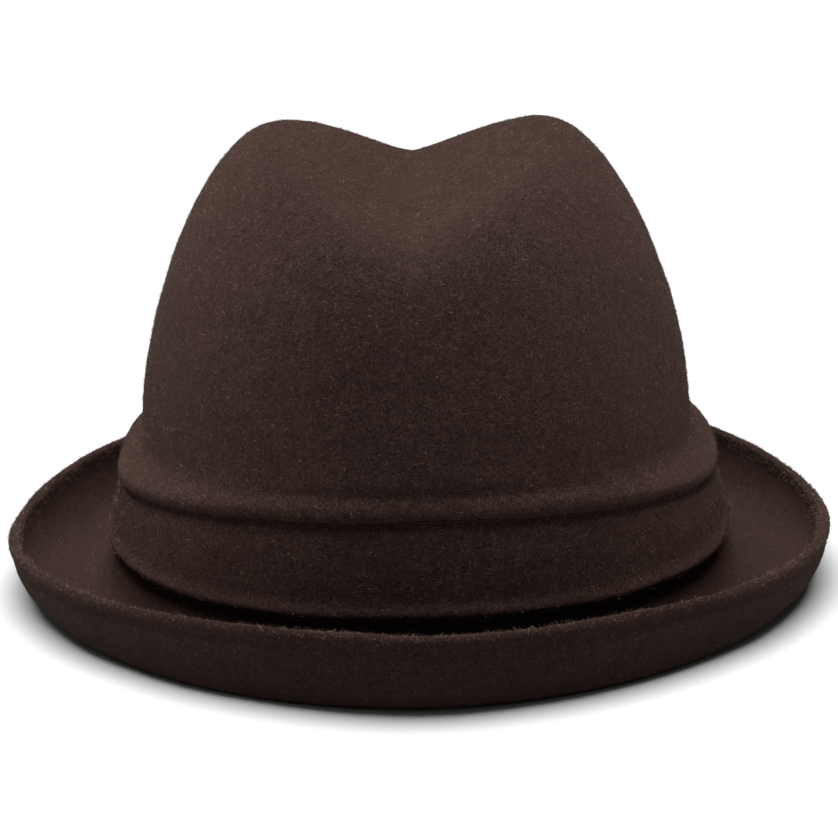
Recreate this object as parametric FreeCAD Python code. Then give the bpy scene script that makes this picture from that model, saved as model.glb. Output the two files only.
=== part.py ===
import FreeCAD
import Part
import math
import os

# Felt trilby with a centre dent, a stitched side band and a short rolled brim.
# Millimetres. +Z is up, the front of the hat faces -Y, +X is the wearer's left.
# Z = 0 is the table the brim stands on, and X = Y = 0 is the middle of the head oval.

os.makedirs("parts", exist_ok=True)

# Felt and oval
FELT = 2.8
OVAL_POWER = 2.25
RIM_POWER = 1.95
RIM_POWER_SKEW = 0.25
RING_POINTS = 64

# Side band: half-width and half-length of its outer face at the base
BASE_Z = 16.0
BASE_X = 86.8
BASE_Y = 102.2
BAND_HEIGHT = 28.8
SIDE_DROP = 9.0
BAND_TOP_LEAN_X = 3.4
BAND_TOP_LEAN_Y = 1.7
SEAM_GROOVE = 1.4
RIDGE_RISE = 0.8

# Brim: distance from the base of the band out to the rim
BRIM_SIDE = 28.5
BRIM_FRONT = 27.2
RIM_HEIGHT_SIDE = 1.2
RIM_HEIGHT_FRONT = 6.2
GUTTER_MIDDLE = 12.5
REST_RING = 2.0

# Crown
CROWN_X = 76.6
CROWN_Y = 101.0
CROWN_RISE = 99.7
CROWN_LEAN = 13.0
CROWN_START = 30.3
SHOULDER_X = 7.2
SHOULDER_Y = 0.6
SHOULDER_REACH = 4.2
TUCK = 0.7
TUCK_GAP = 0.05
DENT_HEIGHT = 93.9
DENT_SLOPE = 18.7
DENT_HALF_WIDTH = 35.0
DENT_POWER = 1.31
DENT_BLEND = 29.0
CROWN_RINGS = 26
CAP_X = 1.0
CAP_Y = 3.0
LOFT_LENGTH = 9

# Sweatband and what is sewn to it
SWEAT_THICK = 1.2
SWEAT_GAP = 0.3
SWEAT_BOTTOM = 0.8
SWEAT_TOP = 26.0
SWEAT_LEAN_X = 5.2
SWEAT_LEAN_Y = 2.0
JOINT_GAP = 0.8
TAPE_WIDTH = 14.0
TAPE_THICK = 0.8
TAPE_BOTTOM = 4.4
LABEL_THICK = 0.4
SIZE_LABEL_WIDTH = 16.0
SIZE_LABEL_HEIGHT = 11.0
CARE_WIDTH = 24.0
CARE_FOLD_Z = 22.5
CARE_BOTTOM_Z = 5.0
CARE_HEM_GAP = 0.4
CARE_X = 75.8

# Thread
THREAD_RADIUS = 0.3
STITCH_LENGTH = 2.6
STITCH_PITCH = 4.6
STITCH_CLEAR = 0.12


def oval_point(angle, half_x, half_y, power=OVAL_POWER):
    """Point of an oval; a power of 2 is an ellipse and more than 2 is squarer."""
    c = math.cos(angle)
    s = math.sin(angle)
    reach = (abs(c) ** power + abs(s) ** power) ** (-1.0 / power)
    return reach * half_x * c, reach * half_y * s


def ring_angles():
    return [2.0 * math.pi * i / RING_POINTS for i in range(RING_POINTS)]


def closed_wire(points):
    curve = Part.BSplineCurve()
    curve.interpolate([FreeCAD.Vector(*p) for p in points], PeriodicFlag=True)
    return Part.Wire([curve.toShape()])


def level_wire(half_x, half_y, z):
    return closed_wire([oval_point(a, half_x, half_y) + (z,) for a in ring_angles()])


def skin(sections):
    return Part.makeLoft(sections, False, False)


def skin_in_lengths(sections):
    """Faces of a long skin, made as several lofts that share their end sections."""
    faces = []
    for start in range(0, len(sections) - 1, LOFT_LENGTH):
        faces += skin(sections[start:start + LOFT_LENGTH + 1]).Faces
    return faces


def flat_ring(outer_wire, inner_wire):
    return Part.makeFace([outer_wire, inner_wire], "Part::FaceMakerBullseye")


def wavy_ring(outer_wire, inner_wire):
    """Ring-shaped face between two wires that rise and fall together."""
    return Part.makeRuledSurface(outer_wire.Edges[0], inner_wire.Edges[0])


def solid_from(faces):
    shell = Part.makeShell(faces)
    shell.sewShape()
    body = Part.makeSolid(shell)
    if body.Volume < 0.0:
        body.reverse()
    return body


def wall_between(outer_rows, inner_rows):
    """Closed wall from (half_x, half_y, z) rows of its outer and inner faces."""
    outer = [level_wire(*row) for row in outer_rows]
    inner = [level_wire(*row) for row in inner_rows]
    faces = skin(outer).Faces + skin(inner).Faces
    faces.append(flat_ring(outer[0], inner[0]))
    faces.append(flat_ring(outer[-1], inner[-1]))
    return solid_from(faces)


# Side band -----------------------------------------------------------------

def band_height(angle):
    """Height of the upper seam, lower over the ears than at the front and back."""
    return BAND_HEIGHT - SIDE_DROP * abs(math.cos(angle)) ** 3


def band_outer(share, height):
    """Outer half-axes of the band at a share of its height."""
    lower = math.exp(-((height / 1.6) ** 2))
    upper = math.exp(-(((1.0 - share) * BAND_HEIGHT - 1.4) / 1.5) ** 2)
    ridge = math.exp(-(((height - 3.4) / 1.8) ** 2))
    swell = RIDGE_RISE * ridge - SEAM_GROOVE * (lower + upper)
    return BASE_X - BAND_TOP_LEAN_X * share + swell, BASE_Y - BAND_TOP_LEAN_Y * share + swell


def band_inner(share):
    inset = SEAM_GROOVE + FELT
    return BASE_X - BAND_TOP_LEAN_X * share - inset, BASE_Y - BAND_TOP_LEAN_Y * share - inset


def band_ring(share, lift, outside):
    """Ring round the band at a share of its height, lifted off its face by a distance."""
    points = []
    for angle in ring_angles():
        height = share * band_height(angle)
        half_x, half_y = band_outer(share, height) if outside else band_inner(share)
        points.append(oval_point(angle, half_x + lift, half_y + lift) + (BASE_Z + height,))
    return closed_wire(points)


def make_band():
    outer = [band_ring(i / 22.0, 0.0, True) for i in range(23)]
    inner = [band_ring(share, 0.0, False) for share in (0.0, 0.5, 1.0)]
    faces = skin(outer).Faces + skin(inner).Faces
    faces.append(flat_ring(outer[0], inner[0]))
    faces.append(wavy_ring(outer[-1], inner[-1]))
    return solid_from(faces)


# Brim ----------------------------------------------------------------------

def brim_width(angle):
    return BRIM_SIDE * math.cos(angle) ** 2 + BRIM_FRONT * math.sin(angle) ** 2


def rim_top(angle):
    side = RIM_HEIGHT_SIDE * math.cos(angle) ** 2
    return BASE_Z + side + RIM_HEIGHT_FRONT * math.sin(angle) ** 2


def brim_ring(section, angles):
    """Ring of the brim whose offset and height at each angle come from section(angle)."""
    points = []
    for angle in angles:
        offset, z = section(angle)
        share = max(offset, 0.0) / BRIM_SIDE
        rim_power = RIM_POWER + RIM_POWER_SKEW * math.sin(angle)
        power = OVAL_POWER + (rim_power - OVAL_POWER) * share
        points.append(oval_point(angle, BASE_X + offset, BASE_Y + offset, power) + (z,))
    return closed_wire(points)


def inner_roll(turn, side):
    """Felt between the band and the bottom of the gutter; side +1 is the upper face."""
    start = -SEAM_GROOVE - 0.5 * FELT
    span_d = GUTTER_MIDDLE - start
    span_z = BASE_Z - 0.5 * FELT
    offset = start + span_d * (1.0 - math.cos(turn))
    z = 0.5 * FELT + span_z * (1.0 - math.sin(turn))
    slope_d = span_d * math.sin(turn)
    slope_z = -span_z * math.cos(turn)
    length = math.hypot(slope_d, slope_z)
    half = 0.5 * FELT * side
    return offset - half * slope_z / length, z + half * slope_d / length


def outer_roll(turn, side, angle):
    """Felt from the bottom of the gutter up to the rim; side +1 is the inner face."""
    start = GUTTER_MIDDLE + REST_RING
    span_d = brim_width(angle) - 0.5 * FELT - start
    span_z = rim_top(angle) - FELT
    offset = start + span_d * math.sin(turn)
    z = 0.5 * FELT + span_z * (1.0 - math.cos(turn))
    slope_d = span_d * math.cos(turn)
    slope_z = span_z * math.sin(turn)
    length = math.hypot(slope_d, slope_z)
    half = 0.5 * FELT * side
    return offset - half * slope_z / length, z + half * slope_d / length


def rim_edge(turn, angle):
    """Half-round raw edge, from the outer face over to the inner face."""
    middle = brim_width(angle) - 0.5 * FELT
    z = rim_top(angle) - 0.5 * FELT
    return middle + 0.5 * FELT * math.cos(turn), z + 0.5 * FELT * math.sin(turn)


def make_brim():
    angles = ring_angles()
    steps = 9
    turns = [0.5 * math.pi * i / steps for i in range(steps + 1)]
    upper_in = [brim_ring(lambda a, t=t: inner_roll(t, 1), angles) for t in turns]
    under_in = [brim_ring(lambda a, t=t: inner_roll(t, -1), angles) for t in turns]
    upper_out = [brim_ring(lambda a, t=t: outer_roll(t, 1, a), angles) for t in turns]
    under_out = [brim_ring(lambda a, t=t: outer_roll(t, -1, a), angles) for t in turns]
    edge_turns = [math.pi * i / 6.0 for i in range(1, 6)]
    edge = [brim_ring(lambda a, t=t: rim_edge(t, a), angles) for t in edge_turns]
    faces = []
    for rings in (upper_in, under_in, upper_out, under_out):
        faces += skin(rings).Faces
    faces += skin([under_out[-1]] + edge + [upper_out[-1]]).Faces
    faces.append(flat_ring(upper_out[0], upper_in[-1]))
    faces.append(flat_ring(under_out[0], under_in[-1]))
    faces.append(flat_ring(upper_in[0], under_in[0]))
    return solid_from(faces)


# Crown ---------------------------------------------------------------------

def smooth_lower(a, b, blend):
    """The lower of two heights, rounded where they cross."""
    share = max(blend - abs(a - b), 0.0) / blend
    return min(a, b) - share ** 3 * blend / 6.0


def crown_point(turn, angle, inset):
    """Face of the crown, inset 0 outside or the felt inside; turn is 0 at the band."""
    rise = math.sin(turn)
    start = CROWN_START + band_height(angle) - BAND_HEIGHT
    height = start + (CROWN_START - start) * (1.0 - (1.0 - rise) ** 3) + (CROWN_RISE - inset) * rise
    half_x = (CROWN_X - inset) * math.cos(turn)
    half_y = (CROWN_Y - inset - CROWN_LEAN * rise) * (1.0 - rise ** 3) ** (1.0 / 2.4)
    shoulder = math.exp(-(((height - start) / (SHOULDER_REACH + 0.7 * inset)) ** 2))
    half_x += (SHOULDER_X - 0.3 * inset) * shoulder
    half_y += SHOULDER_Y * shoulder
    x, y = oval_point(angle, half_x, half_y)
    across = abs(x) / DENT_HALF_WIDTH
    dent = DENT_HEIGHT - inset + DENT_SLOPE * across ** DENT_POWER
    return x, y, BASE_Z + smooth_lower(height, dent, DENT_BLEND)


def shoulder_turns():
    return [0.0, 0.01, 0.02, 0.03, 0.04, 0.052, 0.066, 0.082, 0.1]


def dome_turns():
    first = shoulder_turns()[-1]
    last = 0.5 * math.pi - 0.05
    return [first + (last - first) * i / CROWN_RINGS for i in range(CROWN_RINGS + 1)]


def crown_rings(turns, inset):
    return [closed_wire([crown_point(t, a, inset) for a in ring_angles()]) for t in turns]


def crown_faces(inset):
    """Skin of the crown from its tucked edge up to a small level cap in the dent."""
    tuck_x = CROWN_X + SHOULDER_X - TUCK - inset
    tuck_y = CROWN_Y + SHOULDER_Y - TUCK - inset
    edge = []
    for angle in ring_angles():
        edge.append(oval_point(angle, tuck_x, tuck_y) + (BASE_Z + band_height(angle) + TUCK_GAP,))
    tuck = closed_wire(edge)
    shoulder = crown_rings(shoulder_turns(), inset)
    dome = crown_rings(dome_turns(), inset)
    middle = smooth_lower(CROWN_START + CROWN_RISE, DENT_HEIGHT, DENT_BLEND) - inset
    cap = level_wire(CAP_X, CAP_Y, BASE_Z + middle)
    faces = Part.makeLoft([tuck] + shoulder, False, True).Faces
    faces += skin_in_lengths(dome) + skin([dome[-1], cap]).Faces
    faces.append(Part.Face(cap))
    return tuck, faces


def make_crown():
    outer_tuck, outer_faces = crown_faces(0.0)
    inner_tuck, inner_faces = crown_faces(FELT)
    return solid_from(outer_faces + inner_faces + [wavy_ring(outer_tuck, inner_tuck)])


# Sweatband and its labels ---------------------------------------------------

def sweat_face(height, depth):
    """Half-axes of a face lying the given depth inside the back of the sweatband."""
    share = (height - SWEAT_BOTTOM) / (SWEAT_TOP - SWEAT_BOTTOM)
    inset = SEAM_GROOVE + FELT + SWEAT_GAP + depth
    return BASE_X - inset - SWEAT_LEAN_X * share, BASE_Y - inset - SWEAT_LEAN_Y * share


def strip(low, high, near, far):
    """Ring between two depths inside the back of the sweatband."""
    heights = (low, 0.5 * (low + high), high)
    outer = [sweat_face(h, near) + (BASE_Z + h,) for h in heights]
    inner = [sweat_face(h, far) + (BASE_Z + h,) for h in heights]
    return wall_between(outer, inner)


def corner_box(x0, x1, y0, y1, z0, z1):
    return Part.makeBox(x1 - x0, y1 - y0, z1 - z0, FreeCAD.Vector(x0, y0, z0))


def make_sweatband():
    ring = strip(SWEAT_BOTTOM, SWEAT_TOP, 0.0, SWEAT_THICK)
    half = 0.5 * JOINT_GAP
    return ring.cut(corner_box(-half, half, 60.0, 120.0, 0.0, 80.0))


def make_tape():
    ring = strip(TAPE_BOTTOM, SWEAT_TOP - 0.4, SWEAT_THICK, SWEAT_THICK + TAPE_THICK)
    half = 0.5 * TAPE_WIDTH
    return ring.common(corner_box(-half, half, 60.0, 120.0, 0.0, 80.0))


def make_size_label():
    middle = 0.5 * (SWEAT_BOTTOM + SWEAT_TOP)
    low = middle - 0.5 * SIZE_LABEL_HEIGHT
    high = middle + 0.5 * SIZE_LABEL_HEIGHT
    ring = strip(low, high, SWEAT_THICK, SWEAT_THICK + LABEL_THICK)
    half = 0.5 * SIZE_LABEL_WIDTH
    return ring.common(corner_box(-120.0, -60.0, -half, half, 0.0, 80.0))


def make_care_hem():
    low = CARE_FOLD_Z + CARE_HEM_GAP
    ring = strip(low, SWEAT_TOP, SWEAT_THICK, SWEAT_THICK + LABEL_THICK)
    half = 0.5 * CARE_WIDTH
    return ring.common(corner_box(60.0, 120.0, -half, half, 0.0, 80.0))


def make_care_label():
    half = 0.5 * CARE_WIDTH
    inner = CARE_X - LABEL_THICK
    low = BASE_Z + CARE_BOTTOM_Z
    return corner_box(inner, CARE_X, -half, half, low, BASE_Z + CARE_FOLD_Z)


# Thread --------------------------------------------------------------------

def stitch(middle, direction):
    start = middle - direction * (0.5 * STITCH_LENGTH)
    return Part.makeCylinder(THREAD_RADIUS, STITCH_LENGTH, start, direction)


def stitch_row(wire):
    """Stitches lying end to end along a closed line, evenly spaced."""
    edge = wire.Edges[0]
    count = int(edge.Length / STITCH_PITCH)
    stitches = []
    for i in range(count):
        place = edge.getParameterByLength(edge.Length * (i + 0.5) / count)
        stitches.append(stitch(edge.valueAt(place), edge.tangentAt(place)))
    return stitches


def on_sweatband(angle, height, depth):
    """Point and the two directions of the sweatband's face at an angle and height."""
    half_x, half_y = sweat_face(height, depth + THREAD_RADIUS + STITCH_CLEAR)
    low_x, low_y = sweat_face(height - 1.0, depth + THREAD_RADIUS + STITCH_CLEAR)
    point = FreeCAD.Vector(*oval_point(angle, half_x, half_y), BASE_Z + height)
    below = FreeCAD.Vector(*oval_point(angle, low_x, low_y), BASE_Z + height - 1.0)
    beside = FreeCAD.Vector(*oval_point(angle + 0.002, half_x, half_y), BASE_Z + height)
    return point, (point - below).normalize(), (beside - point).normalize()


def make_tape_stitches():
    stitches = []
    for side in (-1, 1):
        angle = 0.5 * math.pi + side * (0.5 * TAPE_WIDTH - 1.6) / BASE_X
        for i in range(4):
            height = TAPE_BOTTOM + 2.6 + i * STITCH_PITCH
            point, up, along = on_sweatband(angle, height, SWEAT_THICK + TAPE_THICK)
            stitches.append(stitch(point, up))
    return stitches


def make_label_stitches():
    stitches = []
    hem_height = 0.5 * (CARE_FOLD_Z + CARE_HEM_GAP + SWEAT_TOP)
    for i in range(5):
        angle = (i - 2) * STITCH_PITCH / BASE_Y
        point, up, along = on_sweatband(angle, hem_height, SWEAT_THICK + LABEL_THICK)
        stitches.append(stitch(point, along))
    middle = 0.5 * (SWEAT_BOTTOM + SWEAT_TOP)
    for side in (-1, 1):
        angle = math.pi + side * (0.5 * SIZE_LABEL_WIDTH - 1.4) / BASE_Y
        for i in range(2):
            height = middle + (i - 0.5) * STITCH_PITCH
            point, up, along = on_sweatband(angle, height, SWEAT_THICK + LABEL_THICK)
            stitches.append(stitch(point, up))
    return stitches


LIFT = THREAD_RADIUS + STITCH_CLEAR
CROWN_SEAM = 1.0 - 1.4 / BAND_HEIGHT
BRIM_SEAM = 0.045
SWEAT_SEAM = SWEAT_BOTTOM + 2.4
sweat_x, sweat_y = sweat_face(SWEAT_SEAM, SWEAT_THICK + LIFT)

pieces = {
    "crown_felt": [make_crown()],
    "band_felt": [make_band()],
    "brim_felt": [make_brim()],
    "sweatband": [make_sweatband()],
    "sweatband_joint_tape": [make_tape()],
    "size_label": [make_size_label()],
    "care_label_hem": [make_care_hem()],
    "care_label": [make_care_label()],
    "crown_seam_stitches": stitch_row(band_ring(CROWN_SEAM, LIFT, True)),
    "brim_seam_stitches": stitch_row(band_ring(BRIM_SEAM, LIFT, True)),
    "sweatband_stitches": stitch_row(level_wire(sweat_x, sweat_y, BASE_Z + SWEAT_SEAM)),
    "tape_stitches": make_tape_stitches(),
    "label_stitches": make_label_stitches(),
}

for name, solids in pieces.items():
    shape = solids[0] if len(solids) == 1 else Part.makeCompound(solids)
    shape.exportStep("parts/" + name + ".step")
    print(name, len(solids), "valid", shape.isValid(), "volume", round(shape.Volume, 1))
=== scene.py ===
"""Visual model of a brown felt trilby: fine felt skins, tucked seams, thread, nap and labels."""
import math

import bmesh
import bpy
import numpy as np
from mathutils import Matrix, Vector, noise


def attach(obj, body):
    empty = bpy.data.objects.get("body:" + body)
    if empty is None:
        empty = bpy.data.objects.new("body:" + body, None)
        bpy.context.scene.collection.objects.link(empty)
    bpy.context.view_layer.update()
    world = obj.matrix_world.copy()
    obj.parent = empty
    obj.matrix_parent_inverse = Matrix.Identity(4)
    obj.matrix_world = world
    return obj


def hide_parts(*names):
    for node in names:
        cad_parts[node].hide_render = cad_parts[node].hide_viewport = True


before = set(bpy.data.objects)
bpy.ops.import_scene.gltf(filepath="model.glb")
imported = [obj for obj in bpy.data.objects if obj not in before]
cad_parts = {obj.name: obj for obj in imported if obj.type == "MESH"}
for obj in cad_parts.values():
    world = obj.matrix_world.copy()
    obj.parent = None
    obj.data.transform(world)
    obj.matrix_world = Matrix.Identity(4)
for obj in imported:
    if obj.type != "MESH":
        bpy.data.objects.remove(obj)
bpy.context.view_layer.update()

MM = 0.001
rng = np.random.default_rng(57)

# Sizes in millimetres, the same as the solids'
FELT = 2.8
OVAL_POWER, RIM_POWER, RIM_POWER_SKEW = 2.25, 1.95, 0.25
BASE_Z = 16.0
BASE_X, BASE_Y = 86.8, 102.2
BAND_HEIGHT, SIDE_DROP = 28.8, 9.0
LEAN_X, LEAN_Y = 3.4, 1.7
SEAM_GROOVE = 1.4
BRIM_SIDE, BRIM_FRONT = 28.5, 27.2
RIM_SIDE, RIM_FRONT = 1.2, 6.2
GUTTER, REST_RING = 12.5, 2.0
CROWN_X, CROWN_Y, CROWN_RISE = 76.6, 101.0, 99.7
CROWN_LEAN, CROWN_START = 13.0, 30.3
SHOULDER_X, SHOULDER_Y, SHOULDER_REACH = 7.2, 0.6, 4.2
DENT_HEIGHT, DENT_SLOPE, DENT_HALF, DENT_POWER, DENT_BLEND = 93.9, 18.7, 35.0, 1.31, 29.0
SWEAT_THICK, SWEAT_GAP, SWEAT_LOW, SWEAT_HIGH = 1.2, 0.3, 0.8, 26.0
SWEAT_LEAN_X, SWEAT_LEAN_Y = 5.2, 2.0
STITCH_PITCH = 4.6

# Fineness of the felt skins: columns go round the hat, rows go along a section
COLUMNS = 480
ROLL_ROWS = 26
EDGE_ROWS = 11
UPPER_ROWS = 2 * ROLL_ROWS - 1


# Shape helpers ---------------------------------------------------------------

def oval(angle, half_x, half_y, power=OVAL_POWER):
    """Point of an oval; a power of 2 is an ellipse and more than 2 is squarer."""
    c, s = np.cos(angle), np.sin(angle)
    reach = (np.abs(c) ** power + np.abs(s) ** power) ** (-1.0 / power)
    return reach * half_x * c, reach * half_y * s


def bell(x, middle, width):
    return np.exp(-(((x - middle) / width) ** 2))


def around():
    """Angles of the columns, from the wearer's left, with the front at three quarters of a turn."""
    return np.arange(COLUMNS) * 2.0 * np.pi / COLUMNS


def stack(x, y, z):
    x, y, z = np.broadcast_arrays(x, y, z)
    return np.stack([x, y, z], -1)


def normals_of(grid):
    """Outward normals of a grid of rows going up and columns going round."""
    across = np.roll(grid, -1, 1) - np.roll(grid, 1, 1)
    along = np.gradient(grid, axis=0)
    n = np.cross(across, along)
    return n / np.maximum(np.linalg.norm(n, axis=-1, keepdims=True), 1e-9)


def lumps(points, size, seed):
    """Smooth noise from -1 to 1 at points in millimetres."""
    shift = Vector((seed * 17.3, seed * 5.1, seed * 9.7))
    flat = points.reshape(-1, 3) / size
    values = [noise.noise(Vector(p) + shift) for p in flat.tolist()]
    return np.array(values).reshape(points.shape[:-1])


def add_mesh(name, vertices, faces, material):
    mesh = bpy.data.meshes.new(name)
    mesh.from_pydata((np.asarray(vertices) * MM).tolist(), [], faces)
    mesh.validate()
    mesh.update()
    mesh.shade_smooth()
    obj = bpy.data.objects.new(name, mesh)
    bpy.context.scene.collection.objects.link(obj)
    obj.data.materials.append(material)
    return obj


def face_outward(obj):
    """Turn every face of a closed mesh to face out."""
    bm = bmesh.new()
    bm.from_mesh(obj.data)
    bmesh.ops.recalc_face_normals(bm, faces=bm.faces)
    bm.to_mesh(obj.data)
    bm.free()


def ring_faces(rows, columns, loop=False, start=0):
    """Quads between rings of vertices; loop joins the last ring to the first."""
    row = np.arange(rows if loop else rows - 1)[:, None]
    col = np.arange(columns)[None, :]
    up = (row + 1) % rows
    nxt = (col + 1) % columns
    quads = np.stack([row * columns + col, row * columns + nxt,
                      up * columns + nxt, up * columns + col], -1)
    return (quads.reshape(-1, 4) + start).tolist()


def torus_piece(name, grid, material):
    """Piece whose section is one closed loop carried round the hat."""
    rows, columns = grid.shape[:2]
    return add_mesh(name, grid.reshape(-1, 3), ring_faces(rows, columns, loop=True), material)


# Materials -------------------------------------------------------------------

def new_material(name):
    """Material with one principled shader, and the object's own coordinates to texture it by."""
    material = bpy.data.materials.new(name)
    material.use_nodes = True
    tree = material.node_tree
    tree.nodes.clear()
    out = tree.nodes.new("ShaderNodeOutputMaterial")
    shader = tree.nodes.new("ShaderNodeBsdfPrincipled")
    tree.links.new(shader.outputs[0], out.inputs[0])
    coords = tree.nodes.new("ShaderNodeTexCoord")
    return material, tree, shader, coords.outputs["Object"]


def noise_node(tree, vector, scale, detail=4.0, rough=0.6, distortion=0.0):
    node = tree.nodes.new("ShaderNodeTexNoise")
    node.inputs["Scale"].default_value = scale
    node.inputs["Detail"].default_value = detail
    node.inputs["Roughness"].default_value = rough
    node.inputs["Distortion"].default_value = distortion
    tree.links.new(vector, node.inputs["Vector"])
    return node.outputs["Fac"]


def ramp(tree, factor, stops):
    node = tree.nodes.new("ShaderNodeValToRGB")
    elements = node.color_ramp.elements
    while len(elements) < len(stops):
        elements.new(0.5)
    for element, (place, colour) in zip(elements, stops):
        element.position = place
        element.color = (*colour, 1.0)
    tree.links.new(factor, node.inputs[0])
    return node.outputs[0]


def mix(tree, mode, factor, a, b):
    node = tree.nodes.new("ShaderNodeMix")
    node.data_type = "RGBA"
    node.blend_type = mode
    if isinstance(factor, float):
        node.inputs[0].default_value = factor
    else:
        tree.links.new(factor, node.inputs[0])
    for socket, value in ((node.inputs[6], a), (node.inputs[7], b)):
        if isinstance(value, tuple):
            socket.default_value = (*value, 1.0)
        else:
            tree.links.new(value, socket)
    return node.outputs[2]


def math_node(tree, operation, a, b):
    node = tree.nodes.new("ShaderNodeMath")
    node.operation = operation
    for socket, value in zip(node.inputs, (a, b)):
        if isinstance(value, float):
            socket.default_value = value
        else:
            tree.links.new(value, socket)
    return node.outputs[0]


def bump(tree, shader, height, strength, distance):
    node = tree.nodes.new("ShaderNodeBump")
    node.inputs["Strength"].default_value = strength
    node.inputs["Distance"].default_value = distance
    tree.links.new(height, node.inputs["Height"])
    tree.links.new(node.outputs[0], shader.inputs["Normal"])


def cloth_finish(shader, rough, sheen, sheen_tint):
    shader.inputs["Roughness"].default_value = rough
    shader.inputs["Specular IOR Level"].default_value = 0.06
    shader.inputs["Sheen Weight"].default_value = sheen
    shader.inputs["Sheen Roughness"].default_value = 0.45
    shader.inputs["Sheen Tint"].default_value = (*sheen_tint, 1.0)


def felt_material(name, painted_shade_factor):
    """Milled wool: dark ground, fine matted strands, broad clouds and a few light hairs."""
    material, tree, shader, place = new_material(name)
    grain = noise_node(tree, place, 1150.0, 3.0, 0.75, 1.6)
    fibres = noise_node(tree, place, 2300.0, 3.0, 0.7, 3.0)
    clumps = noise_node(tree, place, 330.0, 4.0, 0.6, 0.8)
    clouds = noise_node(tree, place, 26.0, 3.0, 0.5)
    fleck = noise_node(tree, place, 1700.0, 2.0, 0.5, 4.0)
    colour = ramp(tree, grain, [(0.36, (0.0078, 0.0042, 0.0034)), (0.50, (0.0208, 0.0120, 0.0099)),
                                (0.64, (0.0465, 0.0280, 0.0230))])
    strands = ramp(tree, fibres, [(0.38, (0.55, 0.54, 0.53)), (0.62, (1.50, 1.50, 1.50))])
    colour = mix(tree, "MULTIPLY", 0.9, colour, strands)
    clump = ramp(tree, clumps, [(0.35, (0.80, 0.79, 0.78)), (0.65, (1.20, 1.20, 1.20))])
    colour = mix(tree, "MULTIPLY", 1.0, colour, clump)
    broad = ramp(tree, clouds, [(0.3, (0.90, 0.88, 0.88)), (0.7, (1.10, 1.10, 1.10))])
    colour = mix(tree, "MULTIPLY", 1.0, colour, broad)
    light_hair = ramp(tree, fleck, [(0.64, (0.0, 0.0, 0.0)), (0.70, (1.0, 1.0, 1.0))])
    hair_share = math_node(tree, "MULTIPLY", light_hair, 0.6)
    colour = mix(tree, "MIX", hair_share, colour, (0.085, 0.053, 0.043))
    # Darkens the whole felt by the given factor: 1.0 for the crown leaves it as it is; the brim's 0.62 is
    # painted shade, not a darker felt
    colour = mix(tree, "MULTIPLY", 1.0, colour, (painted_shade_factor, painted_shade_factor, painted_shade_factor))
    tree.links.new(colour, shader.inputs["Base Color"])
    height = math_node(tree, "ADD", math_node(tree, "MULTIPLY", grain, 0.6),
                       math_node(tree, "MULTIPLY", fibres, 0.4))
    bump(tree, shader, height, 1.0, 0.0008)
    cloth_finish(shader, 0.95, 0.07, (1.0, 0.52, 0.38))
    return material


def thread_material(name, dark, light):
    material, tree, shader, place = new_material(name)
    strands = noise_node(tree, place, 2400.0, 3.0, 0.6, 1.0)
    tree.links.new(ramp(tree, strands, [(0.35, dark), (0.65, light)]), shader.inputs["Base Color"])
    bump(tree, shader, strands, 0.4, 0.0001)
    cloth_finish(shader, 0.7, 0.2, (0.7, 0.6, 0.5))
    return material


def weave_material(name, dark, light, pitch, stain):
    """Plain woven cloth: crossing yarns about the given pitch in metres apart."""
    wave_scale = 0.31416 / pitch
    material, tree, shader, place = new_material(name)
    waves = []
    for direction in ("Y", "Z"):
        node = tree.nodes.new("ShaderNodeTexWave")
        node.bands_direction = direction
        node.inputs["Scale"].default_value = wave_scale
        node.inputs["Distortion"].default_value = 0.6
        node.inputs["Detail"].default_value = 1.0
        tree.links.new(place, node.inputs["Vector"])
        waves.append(node.outputs["Fac"])
    yarns = math_node(tree, "MULTIPLY", waves[0], waves[1])
    colour = ramp(tree, yarns, [(0.1, dark), (0.7, light)])
    clouds = noise_node(tree, place, 90.0, 4.0, 0.6)
    tone = ramp(tree, clouds, [(0.3, stain), (0.65, (1.0, 1.0, 1.0))])
    colour = mix(tree, "MULTIPLY", 1.0, colour, tone)
    tree.links.new(colour, shader.inputs["Base Color"])
    bump(tree, shader, yarns, 0.5, 0.0001)
    cloth_finish(shader, 0.75, 0.15, (0.8, 0.8, 0.8))
    return material


def fibre_material(name, colour):
    material, _, shader, _ = new_material(name)
    shader.inputs["Base Color"].default_value = (*colour, 1.0)
    cloth_finish(shader, 0.9, 0.1, (0.8, 0.55, 0.45))
    return material


FELT_MAT = felt_material("brown_wool_felt", 1.0)
# The brim is the same felt darkened to 0.62: painted shade for the dimmer light on its faces, not a darker
# felt
BRIM_PAINTED_SHADE_MAT = felt_material("brown_wool_felt_brim_painted_shade", 0.62)
THREAD_MAT = thread_material("brown_thread", (0.008, 0.005, 0.004), (0.028, 0.018, 0.015))
SWEAT_MAT = weave_material("black_grosgrain", (0.004, 0.003, 0.003), (0.016, 0.013, 0.012), 0.0004,
                           (0.75, 0.74, 0.73))
LABEL_MAT = weave_material("woven_label", (0.42, 0.40, 0.36), (0.72, 0.70, 0.65), 0.00035,
                           (0.93, 0.91, 0.88))
INK_MAT = thread_material("label_yarn", (0.02, 0.02, 0.022), (0.05, 0.05, 0.052))
HAIR_MATS = [fibre_material("wool_fibre_dark", (0.016, 0.0098, 0.0082)),
             fibre_material("wool_fibre_mid", (0.046, 0.029, 0.023)),
             fibre_material("wool_fibre_light", (0.170, 0.108, 0.082))]


# Side band -------------------------------------------------------------------

def seam_height(angle):
    """Height of the upper seam above the base of the band."""
    return BAND_HEIGHT - SIDE_DROP * np.abs(np.cos(angle)) ** 3


def band_axes(share, swell):
    return BASE_X - LEAN_X * share + swell, BASE_Y - LEAN_Y * share + swell


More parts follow.
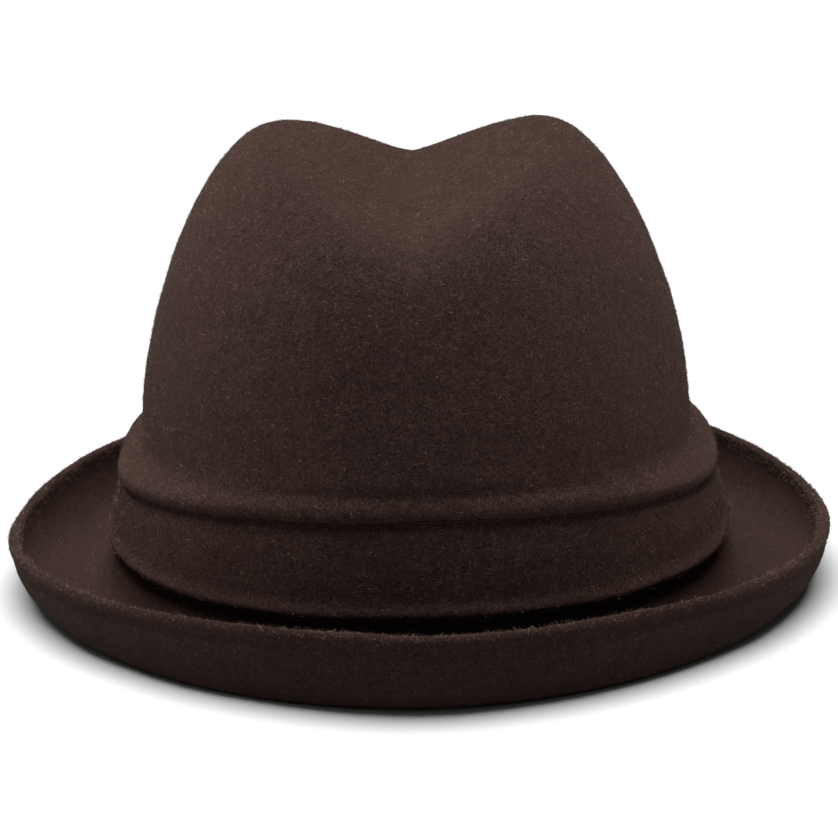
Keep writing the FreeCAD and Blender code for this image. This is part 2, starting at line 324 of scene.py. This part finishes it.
def band_swell(height, from_top):
    """How far the band stands out: pulled in at both seams, with a soft roll above the lower one."""
    low = bell(height, -0.4, 1.7)
    high = bell(from_top, 1.3, 1.8)
    return 1.1 * bell(height, 3.7, 2.0) - 2.3 * low - 1.5 * high - 0.35 * bell(from_top, 4.5, 2.5)


def band_point(angle, height, depth=0.0):
    """Point of the band's outer face at a height, sunk in by a depth."""
    share = height / seam_height(angle)
    swell = band_swell(height, seam_height(angle) - height)
    half_x, half_y = band_axes(share, swell - depth)
    x, y = oval(angle, half_x, half_y)
    return stack(x, y, BASE_Z + height)


def band_grid():
    """Outer face of the band, and its whole section: outer face up, inner face down."""
    angle = around()[None, :]
    shares = np.concatenate([np.linspace(-0.02, 0.25, 24), np.linspace(0.27, 0.80, 20),
                             np.linspace(0.82, 1.03, 18)])[:, None]
    outer = band_point(angle, shares * seam_height(angle))
    outer += normals_of(outer) * (0.35 * lumps(outer, 19.0, 3) + 0.12 * lumps(outer, 5.0, 4))[..., None]
    low = np.linspace(1.015, -0.015, 14)[:, None]
    x, y = oval(angle, *band_axes(low, -SEAM_GROOVE - FELT))
    return outer, np.concatenate([outer, stack(x, y, BASE_Z + low * seam_height(angle))])


# Brim ------------------------------------------------------------------------

def brim_width(angle):
    return BRIM_SIDE * np.cos(angle) ** 2 + BRIM_FRONT * np.sin(angle) ** 2


def rim_top(angle):
    wave = 0.35 * np.sin(3.0 * angle + 0.6) + 0.25 * np.sin(7.0 * angle + 2.0)
    return BASE_Z + RIM_SIDE * np.cos(angle) ** 2 + RIM_FRONT * np.sin(angle) ** 2 + wave


def offset_point(angle, offset, z):
    rim_power = RIM_POWER + RIM_POWER_SKEW * np.sin(angle)
    power = OVAL_POWER + (rim_power - OVAL_POWER) * np.maximum(offset, 0.0) / BRIM_SIDE
    x, y = oval(angle, BASE_X + offset, BASE_Y + offset, power)
    return stack(x, y, z)


def roll_face(start_d, span_d, span_z, turn, side, inward):
    """Offset and height of a face of a quarter-ellipse roll of felt."""
    if inward:
        d, z = span_d * (1.0 - np.cos(turn)), span_z * (1.0 - np.sin(turn))
        slope_d, slope_z = span_d * np.sin(turn), -span_z * np.cos(turn)
    else:
        d, z = span_d * np.sin(turn), span_z * (1.0 - np.cos(turn))
        slope_d, slope_z = span_d * np.cos(turn), span_z * np.sin(turn)
    length = np.hypot(slope_d, slope_z)
    half = 0.5 * FELT * side
    return start_d + d - half * slope_z / length, 0.5 * FELT + z + half * slope_d / length


def brim_grid():
    """Section of the brim, from the band over the upper face and edge, and back underneath."""
    angle = around()[None, :]
    turn = np.linspace(0.0, 0.5 * np.pi, ROLL_ROWS)[:, None]
    start = -SEAM_GROOVE - 0.5 * FELT
    inner = (start, GUTTER - start, BASE_Z - 0.5 * FELT, turn)
    far = GUTTER + REST_RING
    outer = (far, brim_width(angle) - 0.5 * FELT - far, rim_top(angle) - FELT, turn)
    up_in = offset_point(angle, *np.broadcast_arrays(*roll_face(*inner, 1, True), angle)[:2])
    up_out = offset_point(angle, *roll_face(*outer, 1, False))
    under_out = offset_point(angle, *roll_face(*outer, -1, False))
    under_in = offset_point(angle, *np.broadcast_arrays(*roll_face(*inner, -1, True), angle)[:2])
    bend = np.linspace(math.pi, 0.0, EDGE_ROWS + 2)[1:-1, None]
    square_x = np.sign(np.cos(bend)) * np.abs(np.cos(bend)) ** 0.85
    edge = offset_point(angle, brim_width(angle) - 0.5 * FELT + 0.5 * FELT * square_x,
                        rim_top(angle) - 0.5 * FELT + 0.5 * FELT * np.sin(bend))
    grid = np.concatenate([up_in, up_out[1:], edge, under_out[::-1], under_in[:-1][::-1]])
    n = -normals_of(grid)
    z = grid[..., 2]
    drop = rim_top(angle) - z
    outside = (np.einsum("ijk,ijk->ij", n, grid * np.array([1.0, 1.0, 0.0])) > 0) & (drop > 0)
    groove = np.where(outside, -0.4 * bell(drop, 4.4, 1.2) + 0.4 * bell(drop, 2.1, 1.2), 0.0)
    free = np.clip((z - 0.6) / 3.0, 0.0, 1.0)
    soft = 0.35 * lumps(grid, 22.0, 7) + 0.12 * lumps(grid, 6.0, 8)
    return grid + n * (groove + free * soft)[..., None], n


# Crown -----------------------------------------------------------------------

def smooth_lower(a, b, blend):
    """The lower of two heights, rounded off where they cross."""
    share = np.maximum(blend - np.abs(a - b), 0.0) / blend
    return np.minimum(a, b) - share ** 3 * blend / 6.0


def crown_surface(turn, angle):
    rise = np.sin(turn)
    start = CROWN_START + seam_height(angle) - BAND_HEIGHT
    height = start + (CROWN_START - start) * (1.0 - (1.0 - rise) ** 3) + CROWN_RISE * rise
    shoulder = bell(height, start, SHOULDER_REACH)
    half_x = CROWN_X * np.cos(turn) + SHOULDER_X * shoulder
    half_y = (CROWN_Y - CROWN_LEAN * rise) * np.maximum(1.0 - rise ** 3, 0.0) ** (1.0 / 2.4)
    half_y = half_y + SHOULDER_Y * shoulder - 1.0 * bell(height, start + 3.6, 1.9)
    x, y = oval(angle, half_x, half_y)
    across = np.abs(x) / DENT_HALF
    dent = DENT_HEIGHT + DENT_SLOPE * across ** DENT_POWER
    return stack(x, y, BASE_Z + smooth_lower(height, dent, DENT_BLEND))


# Turned-under edge of the crown at the front: how far out from its widest ring, and how high
FOLD = ((-2.9, 28.3), (-2.0, 27.75), (-1.0, 27.7), (-0.25, 28.2), (0.1, 29.1))
SHOULDER_ROWS = 16
SHOULDER_TURN = 0.1


def crown_grid():
    """Outer face of the crown from its turned-under edge to the dent, and its normals."""
    angle = around()[None, :]
    tuck = [offset_fold(angle, d, h) for d, h in FOLD]
    low = np.linspace(0.0, SHOULDER_TURN, SHOULDER_ROWS)
    high = np.linspace(SHOULDER_TURN, 0.5 * np.pi - 0.03, 120)[1:]
    turns = np.concatenate([low, high])[:, None]
    outer = np.concatenate(tuck + [crown_surface(turns, angle)])
    n = normals_of(outer)
    soft = 0.55 * lumps(outer, 34.0, 11) + 0.22 * lumps(outer, 11.0, 12) + 0.08 * lumps(outer, 4.0, 13)
    outer = outer + n * soft[..., None]
    return outer, n


def offset_fold(angle, d, height):
    """Ring of the crown's turned-under edge; height is measured at the front."""
    x, y = oval(angle, CROWN_X + SHOULDER_X + d, CROWN_Y + SHOULDER_Y + d)
    return stack(x, y, BASE_Z + height + seam_height(angle) - BAND_HEIGHT)


def crown_piece(outer, n):
    """Crown shell: the outer face, a coarser inner face one felt's thickness inside, and two poles."""
    rows = outer.shape[0]
    shoulder_top = len(FOLD) + SHOULDER_ROWS
    pick = np.concatenate([np.arange(len(FOLD), shoulder_top, 3), np.arange(shoulder_top + 1, rows - 4, 3)])
    inner = (outer - n * FELT)[pick][::-1]
    top_out = outer[-1].mean(0)
    top_in = inner[0].mean(0)
    vertices = np.concatenate([outer.reshape(-1, 3), inner.reshape(-1, 3), [top_out, top_in]])
    count_out = rows * COLUMNS
    inner_rows = inner.shape[0]
    faces = ring_faces(rows, COLUMNS)
    faces += ring_faces(inner_rows, COLUMNS, start=count_out)
    last_in = count_out + (inner_rows - 1) * COLUMNS
    pole = count_out + inner_rows * COLUMNS
    for i in range(COLUMNS):
        j = (i + 1) % COLUMNS
        faces.append((last_in + i, last_in + j, j, i))
        faces.append(((rows - 1) * COLUMNS + i, (rows - 1) * COLUMNS + j, pole))
        faces.append((count_out + j, count_out + i, pole + 1))
    return add_mesh("crown_felt_skin", vertices, faces, FELT_MAT)


# Pieces ----------------------------------------------------------------------

crown_outer, crown_n = crown_grid()
crown = crown_piece(crown_outer, crown_n)
band_outer_grid, band_all = band_grid()
band = torus_piece("band_felt_skin", band_all, FELT_MAT)
brim_all, brim_n = brim_grid()
brim = torus_piece("brim_felt_skin", brim_all[::-1], BRIM_PAINTED_SHADE_MAT)

# Sweatband, tape and labels --------------------------------------------------

def sweat_point(angle, height, depth):
    """Point at a depth inside the back of the sweatband."""
    share = (height - SWEAT_LOW) / (SWEAT_HIGH - SWEAT_LOW)
    inset = SEAM_GROOVE + FELT + SWEAT_GAP + depth
    x, y = oval(angle, BASE_X - inset - SWEAT_LEAN_X * share, BASE_Y - inset - SWEAT_LEAN_Y * share)
    return stack(x, y, BASE_Z + height)


def strip_piece(name, loops, material):
    """Closed strip from cross-section loops placed side by side, capped at both ends."""
    count, around_loop = loops.shape[:2]
    faces = []
    for i in range(count - 1):
        for j in range(around_loop):
            k = (j + 1) % around_loop
            faces.append((i * around_loop + j, i * around_loop + k,
                          (i + 1) * around_loop + k, (i + 1) * around_loop + j))
    faces.append(tuple(range(around_loop))[::-1])
    last = (count - 1) * around_loop
    faces.append(tuple(range(last, last + around_loop)))
    obj = add_mesh(name, loops.reshape(-1, 3), faces, material)
    face_outward(obj)
    return obj


def section(low, high, near, far, steps, corner):
    """(height, depth) loop of a flat strip with softened edges."""
    rise = np.linspace(low + corner, high - corner, steps)
    middle = 0.5 * (near + far)
    half = 0.5 * (far - near)
    bend = np.linspace(0.0, np.pi, 5)[1:-1]
    top = [(high - corner + corner * np.sin(a), middle + half * np.cos(a)) for a in bend]
    foot = [(low + corner - corner * np.sin(a), middle - half * np.cos(a)) for a in bend]
    loop = [(h, far) for h in rise] + top + [(h, near) for h in rise[::-1]] + foot
    return np.array(loop)


def ribbed_strip(name, start, stop, low, high, near, far, pitch, relief, material):
    """Ribbon following the sweatband's face, with ribs across its width."""
    mean_radius = 0.5 * (BASE_X + BASE_Y - 10.0)
    length = abs(stop - start) * mean_radius
    ribs = int(length / pitch)
    angles = np.linspace(start, stop, ribs * 4 + 1)
    loop = section(low, high, near, far, 8, 0.5)
    wave = relief * np.cos(np.arange(angles.size) * 0.5 * np.pi)
    wobble = 0.25 * relief * rng.standard_normal(angles.size)
    inner = (loop[:, 1] > 0.5 * (near + far)).astype(float)
    depth = loop[None, :, 1] + (wave + wobble)[:, None] * inner[None, :]
    grid = sweat_point(angles[:, None], loop[None, :, 0], depth)
    return strip_piece(name, grid, material)


def flat_patch(name, middle, half_width, low, high, near, far, material, curl=0.0):
    """Small label at one side of the sweatband's face, its corners lifting by curl."""
    across = np.linspace(-1.0, 1.0, 24)
    loop = section(low, high, near, far, 10, 0.14)
    up = (loop[None, :, 0] - 0.5 * (low + high)) / (0.5 * (high - low))
    lift = curl * np.abs(across[:, None]) ** 6 * np.abs(up) ** 6
    ripple = 0.05 * np.sin(across[:, None] * 5.0 + loop[None, :, 0] * 0.8)
    depth = loop[None, :, 1] + lift + ripple
    angles = middle + across[:, None] * half_width / BASE_Y
    return strip_piece(name, sweat_point(angles, loop[None, :, 0], depth), material)


BACK, LEFT, RIGHT = 0.5 * math.pi, 0.0, math.pi
HALF_GAP = 0.4 / BASE_X
HALF_TAPE = 7.0 / BASE_X
TAPE_LOW = 4.4
LABEL_MIDDLE = 0.5 * (SWEAT_LOW + SWEAT_HIGH)
SIZE_HALF_WIDTH, SIZE_HALF_HEIGHT = 8.0, 5.5
CARE_HALF_WIDTH, CARE_LOW, CARE_LENGTH, CARE_FACE, HEM_LOW = 12.0, 5.0, 17.5, 75.76, 22.9
sweat = ribbed_strip("sweatband_ribbon", BACK + HALF_GAP, BACK + 2.0 * math.pi - HALF_GAP,
                     SWEAT_LOW, SWEAT_HIGH, 0.1, SWEAT_THICK, 0.95, 0.09, SWEAT_MAT)
tape = ribbed_strip("sweatband_joint_ribbon", BACK - HALF_TAPE, BACK + HALF_TAPE,
                    TAPE_LOW, SWEAT_HIGH - 0.4, SWEAT_THICK + 0.15, SWEAT_THICK + 0.8, 0.8, 0.06, SWEAT_MAT)
size_tab = flat_patch("size_tab", RIGHT, SIZE_HALF_WIDTH,
                      LABEL_MIDDLE - SIZE_HALF_HEIGHT, LABEL_MIDDLE + SIZE_HALF_HEIGHT,
                      SWEAT_THICK + 0.12, SWEAT_THICK + 0.42, LABEL_MAT, curl=0.25)
hem = flat_patch("care_label_fold", LEFT, CARE_HALF_WIDTH, HEM_LOW, SWEAT_HIGH,
                 SWEAT_THICK + 0.12, SWEAT_THICK + 0.5, LABEL_MAT)


def care_flap():
    """Hanging label, curling a little towards the inside of the hat at its foot."""
    across = np.linspace(-CARE_HALF_WIDTH, CARE_HALF_WIDTH, 40)[:, None]
    loop = section(0.0, CARE_LENGTH, 0.0, 0.32, 22, 0.13)[None]
    down = (CARE_LENGTH - loop[..., 0]) / CARE_LENGTH
    curve = 0.9 * down ** 3 + 0.35 * down * np.sin(across * 0.33 + 0.8) ** 2
    grid = stack(CARE_FACE - loop[..., 1] - curve, across, BASE_Z + CARE_LOW + loop[..., 0])
    return strip_piece("care_label_flap", grid, LABEL_MAT)


flap = care_flap()


def number_piece():
    """Size number on the size tab, as raised yarn."""
    text = bpy.data.curves.new("size_number", "FONT")
    text.body = "57"
    text.size = 7.0 * MM
    text.align_x = "CENTER"
    text.align_y = "CENTER"
    text.extrude = 0.05 * MM
    text.bevel_depth = 0.05 * MM
    source = bpy.data.objects.new("size_number_source", text)
    bpy.context.scene.collection.objects.link(source)
    bpy.context.view_layer.update()
    mesh = bpy.data.meshes.new_from_object(source)
    bpy.data.objects.remove(source)
    obj = bpy.data.objects.new("size_number", mesh)
    bpy.context.scene.collection.objects.link(obj)
    mesh.materials.clear()
    mesh.materials.append(INK_MAT)
    place = Vector(sweat_point(RIGHT, LABEL_MIDDLE, SWEAT_THICK + 0.47).tolist())
    tilt = math.atan2(SWEAT_LEAN_X, SWEAT_HIGH - SWEAT_LOW)
    turn = Matrix(((0.0, 0.0, 1.0), (1.0, 0.0, 0.0), (0.0, 1.0, 0.0))).to_4x4()
    mesh.transform(Matrix.Translation(place * MM) @ Matrix.Rotation(tilt, 4, "Y") @ turn)
    return obj


number = number_piece()


# Thread ----------------------------------------------------------------------

def thread_piece(name, stitches, length, radius, material):
    """Sewn stitches: short arched lengths of two-ply thread whose ends sink into the cloth."""
    rings, sides = 9, 8
    share = np.linspace(-1.0, 1.0, rings)
    arch = radius * (0.95 - 2.6 * share ** 4)
    taper = np.sqrt(np.maximum(1.0 - np.abs(share) ** 7, 0.05))
    ring = np.arange(sides) * 2.0 * np.pi / sides
    vertices, faces = [], []
    for place, along, out in stitches:
        side = np.cross(along, out)
        phase = rng.uniform(0.0, 6.28)
        size = radius * rng.uniform(0.92, 1.08)
        start = len(vertices)
        for s, lift, thin in zip(share, arch, taper):
            ply = 1.0 + 0.16 * np.cos(2.0 * (ring - phase - 4.2 * s))
            middle = place + along * (0.5 * length * s) + out * lift
            for angle, swell in zip(ring, ply):
                reach = size * thin * swell
                vertices.append(middle + reach * (side * math.cos(angle) + out * math.sin(angle)))
        for i in range(rings - 1):
            for j in range(sides):
                k = (j + 1) % sides
                a, b = start + i * sides, start + (i + 1) * sides
                faces.append((a + j, b + j, b + k, a + k))
        faces.append(tuple(start + j for j in range(sides)))
        last = start + (rings - 1) * sides
        faces.append(tuple(last + j for j in reversed(range(sides))))
    obj = add_mesh(name, vertices, faces, material)
    face_outward(obj)
    return obj


def unit(v):
    return v / np.linalg.norm(v)


def seam_stitches(point_at, count, inward=False):
    """Frames of evenly spaced stitches along a closed line point_at(angle)."""
    angles = np.linspace(0.0, 2.0 * np.pi, 1441)
    line = point_at(angles)
    steps = np.linalg.norm(np.diff(line, axis=0), axis=1)
    travelled = np.concatenate([[0.0], np.cumsum(steps)])
    frames = []
    for i in range(count):
        angle = np.interp(travelled[-1] * (i + 0.5 + rng.uniform(-0.06, 0.06)) / count, travelled, angles)
        a, b = point_at(np.array([angle - 0.004]))[0], point_at(np.array([angle + 0.004]))[0]
        along = unit(b - a)
        out = np.cross(along, np.array([0.0, 0.0, 1.0]))
        along = unit(along + np.array([0.0, 0.0, rng.uniform(-0.05, 0.05)]))
        frames.append((0.5 * (a + b), along, unit(-out if inward else out)))
    return frames


def wall_frames(angle, heights, depth):
    """Upright stitches on the sweatband's face."""
    frames = []
    for height in heights:
        a = sweat_point(angle, height - 0.5, depth)
        b = sweat_point(angle, height + 0.5, depth)
        inward = unit(-0.5 * (a + b) * np.array([1.0, 1.0, 0.0]))
        frames.append((0.5 * (a + b), unit(b - a), inward))
    return frames


def crown_seam_line(angle):
    return band_point(angle, seam_height(angle) - 1.5)


def brim_seam_line(angle):
    return band_point(angle, 0.9)


def sweat_seam_line(angle):
    return sweat_point(angle, 3.2, SWEAT_THICK + 0.08)


def tape_frames():
    heights = [TAPE_LOW + 2.6 + STITCH_PITCH * i for i in range(4)]
    frames = []
    for side in (-1, 1):
        frames += wall_frames(BACK + side * 5.4 / BASE_X, heights, SWEAT_THICK + 0.85)
    return frames


def label_frames():
    """Stitches up the two sides of the size tab and along the care label's fold."""
    heights = [LABEL_MIDDLE - 0.5 * STITCH_PITCH, LABEL_MIDDLE + 0.5 * STITCH_PITCH]
    frames = []
    for side in (-1, 1):
        frames += wall_frames(RIGHT + side * 6.6 / BASE_Y, heights, SWEAT_THICK + 0.42)
    hem_middle = 0.5 * (HEM_LOW + SWEAT_HIGH)
    for i in range(5):
        middle = (i - 2) * STITCH_PITCH / BASE_Y
        a = sweat_point(middle - 0.005, hem_middle, SWEAT_THICK + 0.5)
        b = sweat_point(middle + 0.005, hem_middle, SWEAT_THICK + 0.5)
        inward = unit(-0.5 * (a + b) * np.array([1.0, 1.0, 0.0]))
        frames.append((0.5 * (a + b), unit(b - a), inward))
    return frames


crown_thread = thread_piece("crown_seam_thread", seam_stitches(crown_seam_line, 128), 2.9, 0.26, THREAD_MAT)
brim_thread = thread_piece("brim_seam_thread", seam_stitches(brim_seam_line, 131), 2.9, 0.3, THREAD_MAT)
sweat_thread = thread_piece("sweatband_thread", seam_stitches(sweat_seam_line, 123, True), 2.7, 0.3,
                            THREAD_MAT)
tape_thread = thread_piece("tape_thread", tape_frames(), 2.7, 0.28, THREAD_MAT)
label_thread = thread_piece("label_thread", label_frames(), 2.6, 0.26, THREAD_MAT)


# Nap -------------------------------------------------------------------------

def nap(name, grid, n, count, longest, material):
    """Loose wool fibres standing off a felt face: thin closed spikes, rooted in the felt."""
    rows, columns = grid.shape[:2]
    down = np.linalg.norm(np.diff(grid, axis=0), axis=-1)
    over = np.linalg.norm(np.roll(grid, -1, 1) - grid, axis=-1)[:-1]
    weight = (down * over).ravel()
    cell = rng.choice(weight.size, count, p=weight / weight.sum())
    row, col = cell // columns, cell % columns
    u, v = rng.random((2, count, 1))
    nxt = (col + 1) % columns
    root = ((1 - u) * (1 - v) * grid[row, col] + (1 - u) * v * grid[row, nxt]
            + u * (1 - v) * grid[row + 1, col] + u * v * grid[row + 1, nxt])
    normal = n[row, col]
    drift = rng.standard_normal((count, 3))
    drift -= (drift * normal).sum(1, keepdims=True) * normal
    drift /= np.linalg.norm(drift, axis=1, keepdims=True)
    stand = rng.uniform(0.15, 0.9, (count, 1)) ** 1.6
    lean = drift + stand * normal
    lean /= np.linalg.norm(lean, axis=1, keepdims=True)
    length = longest * rng.uniform(0.35, 1.0, (count, 1)) ** 1.8
    thick = rng.uniform(0.040, 0.095, (count, 1))
    side = np.cross(lean, normal)
    side /= np.maximum(np.linalg.norm(side, axis=1, keepdims=True), 1e-6)
    other = np.cross(side, lean)
    root = root - normal * 0.12
    tip = root + lean * length + normal * 0.14
    third = 2.0 * math.pi / 3.0
    corners = [root + thick * (side * math.cos(a) + other * math.sin(a)) for a in (0.0, third, 2.0 * third)]
    vertices = np.stack(corners + [tip], 1).reshape(-1, 3)
    base = np.arange(count)[:, None] * 4
    faces = np.concatenate([base + np.array([[0, 1, 3]]), base + np.array([[1, 2, 3]]),
                            base + np.array([[2, 0, 3]]), base + np.array([[0, 2, 1]])])
    return add_mesh(name, vertices, faces.tolist(), material)


band_n = normals_of(band_outer_grid)
rim_start, rim_stop = UPPER_ROWS - 4, UPPER_ROWS + EDGE_ROWS + 1
nap_pieces = []
for tone, (share, material) in enumerate(zip((0.40, 0.38, 0.22), HAIR_MATS)):
    for zone, grid, n, count, longest in (
            ("crown", crown_outer[4:-6], crown_n[4:-6], 42000, 1.9),
            ("band", band_outer_grid[2:-3], band_n[2:-3], 16000, 2.1),
            ("brim_top", brim_all[:UPPER_ROWS + 1], brim_n[:UPPER_ROWS + 1], 9000, 1.5),
            ("rim", brim_all[rim_start:rim_stop], brim_n[rim_start:rim_stop], 22000, 1.9),
            ("brim_face", brim_all[UPPER_ROWS + 1:], brim_n[UPPER_ROWS + 1:], 14000, 1.5)):
        nap_pieces.append(nap(f"nap_{zone}_{tone + 1}", grid, n, int(count * share), longest, material))

# Bodies ----------------------------------------------------------------------

for piece, node, finish in (
        (crown, "crown_felt", "felt"), (band, "band_felt", "felt"), (brim, "brim_felt", "felt"),
        (sweat, "sweatband", "sweatband_cloth"), (tape, "sweatband_joint_tape", "sweatband_cloth"),
        (size_tab, "size_label", "label_cloth"), (hem, "care_label_hem", "label_cloth"),
        (crown_thread, "crown_seam_stitches", "thread"), (brim_thread, "brim_seam_stitches", "thread"),
        (sweat_thread, "sweatband_stitches", "thread"), (tape_thread, "tape_stitches", "thread"),
        (label_thread, "label_stitches", "thread")):
    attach(piece, "hat")
    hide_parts(node)
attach(flap, "care_label")
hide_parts("care_label")
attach(number, "hat")
for piece in nap_pieces:
    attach(piece, "hat")

# Floor, light and camera -----------------------------------------------------

floor_mesh = bpy.data.meshes.new("floor")
floor_mesh.from_pydata([(-6, -4, 0), (6, -4, 0), (6, 8, 0), (-6, 8, 0)], [], [(0, 1, 2, 3)])
floor = bpy.data.objects.new("floor", floor_mesh)
bpy.context.scene.collection.objects.link(floor)
floor_mat, _, floor_shader, _ = new_material("pale_floor")
floor_shader.inputs["Base Color"].default_value = (0.42, 0.42, 0.42, 1.0)
floor_shader.inputs["Roughness"].default_value = 0.9
floor_mesh.materials.append(floor_mat)

world = bpy.data.worlds.new("studio")
bpy.context.scene.world = world
world.use_nodes = True
world.node_tree.nodes["Background"].inputs[0].default_value = (1.0, 1.0, 1.0, 1.0)
world.node_tree.nodes["Background"].inputs[1].default_value = 0.05


def sun(name, toward, strength, spread, colour=(1.0, 1.0, 1.0)):
    """Broad even light from the direction toward points to."""
    light = bpy.data.lights.new(name, "SUN")
    light.energy = strength
    light.angle = math.radians(spread)
    light.color = colour
    obj = bpy.data.objects.new(name, light)
    obj.rotation_euler = Vector(toward).to_track_quat("Z", "Y").to_euler()
    bpy.context.scene.collection.objects.link(obj)


sun("key_light", (-0.25, -0.75, 0.75), 0.25, 50.0)
sun("top_light", (-0.05, 0.05, 1.0), 8.2, 60.0)
sun("left_light", (-1.0, 0.10, 0.45), 0.05, 40.0, (1.0, 0.80, 0.78))
sun("right_light", (1.0, 0.15, 0.45), 0.05, 40.0)

# The camera circles a point on the hat's axis, rolls about its own view, and then aims lower
ELEVATION = math.radians(12.5)
TURN = math.radians(0.2)
ROLL = math.radians(1.2)
DISTANCE = 0.950
TARGET_HEIGHT = 0.0785
LENS_MM, SENSOR_MM = 146.105, 36.0
AIM_RIGHT, AIM_DOWN = 0.001323, 0.034402
back = Vector((math.sin(TURN) * math.cos(ELEVATION), -math.cos(TURN) * math.cos(ELEVATION),
               math.sin(ELEVATION)))
place = Vector((0.0, 0.0, TARGET_HEIGHT)) + back * DISTANCE
level_right = Vector((math.cos(TURN), math.sin(TURN), 0.0))
level_up = back.cross(level_right)
rolled_right = level_right * math.cos(ROLL) - level_up * math.sin(ROLL)
rolled_up = level_right * math.sin(ROLL) + level_up * math.cos(ROLL)
forward = (rolled_right * AIM_RIGHT - rolled_up * AIM_DOWN - back).normalized()
right = (rolled_right - forward * rolled_right.dot(forward)).normalized()
up = right.cross(forward)
camera_data = bpy.data.cameras.new("camera")
camera_data.sensor_width = SENSOR_MM
camera_data.lens = LENS_MM
camera = bpy.data.objects.new("camera", camera_data)
camera.matrix_world = Matrix((
    (right.x, up.x, -forward.x, place.x),
    (right.y, up.y, -forward.y, place.y),
    (right.z, up.z, -forward.z, place.z),
    (0.0, 0.0, 0.0, 1.0)))
bpy.context.scene.collection.objects.link(camera)
bpy.context.scene.camera = camera
bpy.context.scene.view_settings.view_transform = "Standard"
